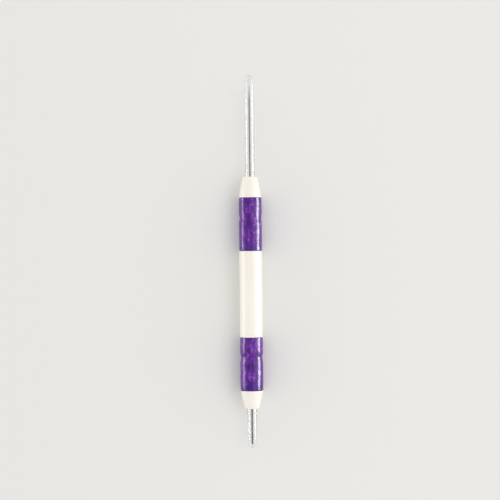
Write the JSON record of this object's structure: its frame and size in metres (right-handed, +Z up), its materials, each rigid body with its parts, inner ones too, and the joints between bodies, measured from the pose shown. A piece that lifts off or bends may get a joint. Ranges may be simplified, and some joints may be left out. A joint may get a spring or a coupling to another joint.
{
  "type": "quilling tool",
  "caption": "Double-ended paper quilling tool: a needle and a slotted pin on one slim round handle with soft grips and clear push-on caps.",
  "frame": {"origin": "on the surface that the tool lies on, under the middle of its length with both caps on", "axes": "+Y along the tool towards the needle, -Y towards the slotted pin, +Z up, +X across"},
  "size_m": [0.0104, 0.1676, 0.0105],
  "materials": {
    "white_plastic": "moulded, glossy",
    "purple_grip": "glossy marbled soft sleeve",
    "needle_steel": "drawn and polished wire",
    "clear_plastic": "clear, glossy"
  },
  "bodies": {
    "handle": {"barrel": "white_plastic", "needle_end_grip": "purple_grip", "slot_end_grip": "purple_grip", "needle_nose": "white_plastic", "slot_nose": "white_plastic", "quilling_needle": "needle_steel", "slotted_pin": "needle_steel", "needle_lock_plug": "white_plastic", "slot_lock_plug": "white_plastic"},
    "needle_cap": {"needle_cap": "clear_plastic"},
    "slot_cap": {"slot_cap": "clear_plastic"}
  },
  "joints": [
    {"name": "needle_cap_slide", "type": "slide", "parent": "handle", "child": "needle_cap", "axis": [0, 1, 0], "range_m": [0, 0.046]},
    {"name": "slot_cap_slide", "type": "slide", "parent": "handle", "child": "slot_cap", "axis": [0, -1, 0], "range_m": [0, 0.0205]}
  ]
}
